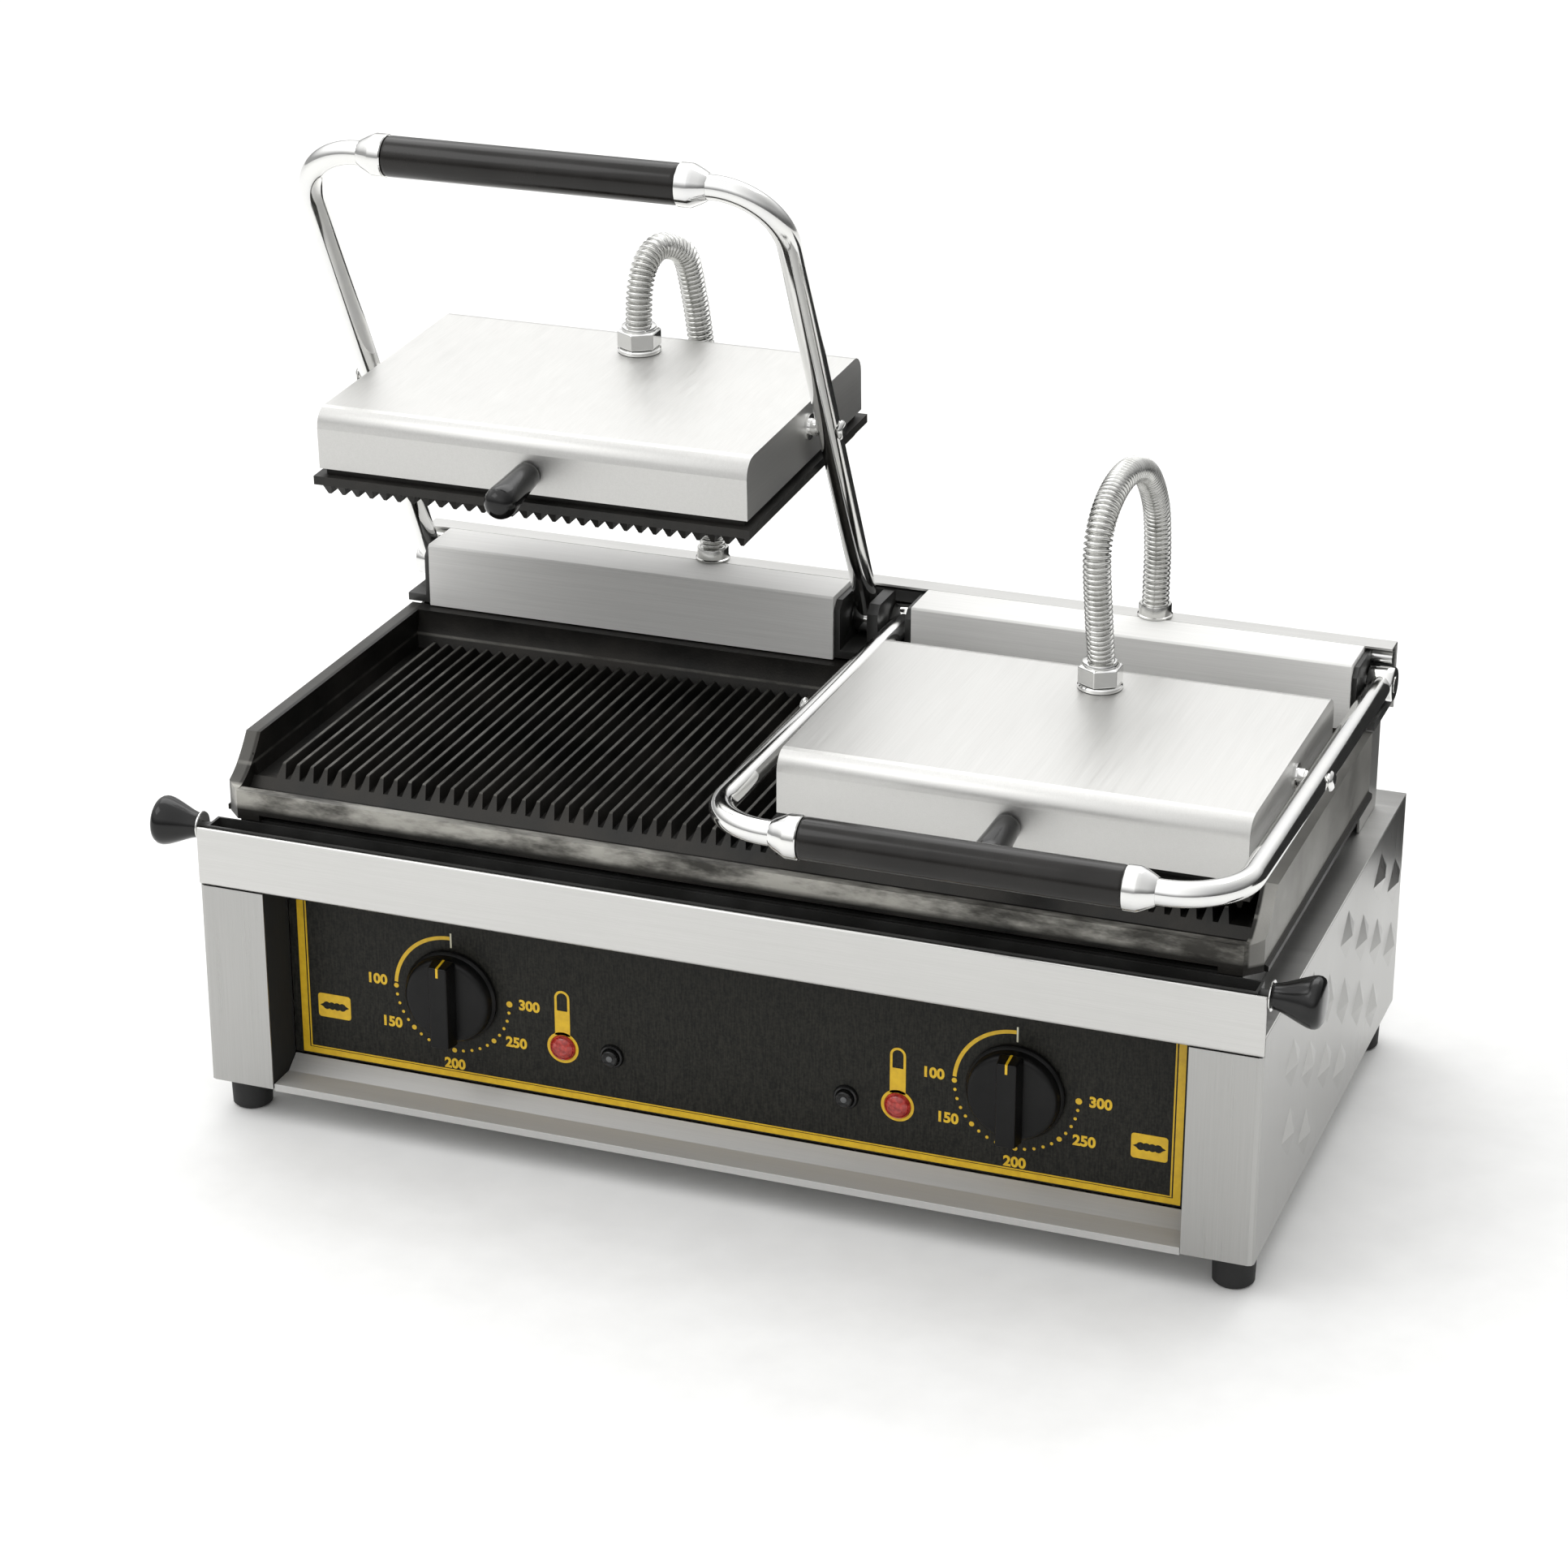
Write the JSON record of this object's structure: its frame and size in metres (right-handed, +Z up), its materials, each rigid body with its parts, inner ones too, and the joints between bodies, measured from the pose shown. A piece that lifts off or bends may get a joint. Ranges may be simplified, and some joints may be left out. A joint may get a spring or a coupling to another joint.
{
  "type": "double contact grill",
  "caption": "Countertop contact grill with a ribbed lower plate, heads on lifting yokes, dials, pilot lamps and a drip tray.",
  "frame": {"origin": "centre of the bounding box on the plane of the table, at the rest pose (left head raised, right head closed)", "axes": "+X to the right seen from the front, +Y to the back, +Z up"},
  "size_m": [0.678, 0.4052, 0.5516],
  "materials": {
    "stainless": "brushed",
    "chrome": "polished",
    "conduit_steel": "polished corrugated",
    "cast_iron": "seasoned",
    "black_enamel": "satin",
    "black_panel": "satin",
    "black_plastic": "gloss",
    "grip_plastic": "satin",
    "cream_plastic": "matte",
    "lamp_lens": "gloss",
    "rubber": "matte"
  },
  "bodies": {
    "base": {"base_tray": "stainless", "cable_gland": "black_plastic", "control_panel": "black_panel", "counter_spring_left": "stainless", "counter_spring_right": "stainless", "foot_left_back": "rubber", "foot_left_front": "rubber", "foot_right_back": "rubber", "foot_right_front": "rubber", "front_band": "stainless", "hinge_axle": "chrome", "hinge_block_centre": "black_enamel", "hinge_block_left": "black_enamel", "hinge_block_right": "black_enamel", "left_conduit": "conduit_steel", "left_conduit_ferrule": "conduit_steel", "left_lamp": "lamp_lens", "left_side_panel": "stainless", "left_thermostat": "cream_plastic", "lower_heater_left": "stainless", "lower_heater_right": "stainless", "lower_plate": "cast_iron", "right_conduit": "conduit_steel", "right_conduit_ferrule": "conduit_steel", "right_lamp": "lamp_lens", "right_side_panel": "stainless", "right_thermostat": "cream_plastic", "sill_pan": "stainless", "spring_rod": "chrome", "support_frame": "black_enamel", "terminal_block": "cream_plastic", "top_deck": "stainless", "tower_cover_left": "stainless", "tower_cover_right": "stainless", "tower_rear_cover": "stainless"},
    "drip_drawer": {"drip_tray": "black_panel", "tray_knob_left": "black_plastic", "tray_knob_right": "black_plastic"},
    "left_push_button": {"left_button": "black_plastic"},
    "left_head": {"left_conduit_nut": "chrome", "left_head_handle": "black_plastic", "left_head_shell": "stainless", "left_pivot_pin_left": "chrome", "left_pivot_pin_right": "chrome", "left_upper_heater": "stainless", "left_upper_plate": "cast_iron"},
    "left_dial": {"left_thermostat_knob": "black_plastic"},
    "left_yoke": {"left_yoke_grip": "grip_plastic", "left_yoke_tube": "chrome"},
    "right_push_button": {"right_button": "black_plastic"},
    "right_head": {"right_conduit_nut": "chrome", "right_head_handle": "black_plastic", "right_head_shell": "stainless", "right_pivot_pin_left": "chrome", "right_pivot_pin_right": "chrome", "right_upper_heater": "stainless", "right_upper_plate": "cast_iron"},
    "right_dial": {"right_thermostat_knob": "black_plastic"},
    "right_yoke": {"right_yoke_grip": "grip_plastic", "right_yoke_tube": "chrome"}
  },
  "joints": [
    {"name": "left_lift", "type": "hinge", "parent": "base", "child": "left_yoke", "pos_m": [-0.1557, 0.14509, 0.2423], "axis": [-1, 0, 0], "range_deg": [-61.1, 0], "deforming": ["left_conduit"]},
    {"name": "left_level", "type": "hinge", "parent": "left_yoke", "child": "left_head", "pos_m": [-0.1557, 0.07169, 0.3821], "axis": [-1, 0, 0], "range_deg": [0, 63.4]},
    {"name": "right_lift", "type": "hinge", "parent": "base", "child": "right_yoke", "pos_m": [0.1557, 0.14509, 0.2423], "axis": [-1, 0, 0], "range_deg": [0, 61.1], "deforming": ["right_conduit"]},
    {"name": "right_level", "type": "hinge", "parent": "right_yoke", "child": "right_head", "pos_m": [0.1557, -0.01278, 0.24561], "axis": [-1, 0, 0], "range_deg": [-63.4, 0]},
    {"name": "left_temperature", "type": "hinge", "parent": "base", "child": "left_dial", "pos_m": [-0.1678, -0.13341, 0.0866], "axis": [0, -1, 0], "range_deg": [-25, 245]},
    {"name": "right_temperature", "type": "hinge", "parent": "base", "child": "right_dial", "pos_m": [0.1678, -0.13341, 0.0866], "axis": [0, -1, 0], "range_deg": [-25, 245]},
    {"name": "left_press", "type": "slide", "parent": "base", "child": "left_push_button", "axis": [0, 1, 0], "range_m": [0, 0.002], "stiffness_N_per_m": 400, "springref_m": -0.002},
    {"name": "right_press", "type": "slide", "parent": "base", "child": "right_push_button", "axis": [0, 1, 0], "range_m": [0, 0.002], "stiffness_N_per_m": 400, "springref_m": -0.002},
    {"name": "drip_lift", "type": "slide", "parent": "base", "child": "drip_drawer", "axis": [0, 0, 1], "range_m": [0, 0.04]}
  ],
  "couplings": [
    {"joint": "left_level", "follows": "left_lift", "ratio": -1.0376},
    {"joint": "right_level", "follows": "right_lift", "ratio": -1.0376}
  ]
}
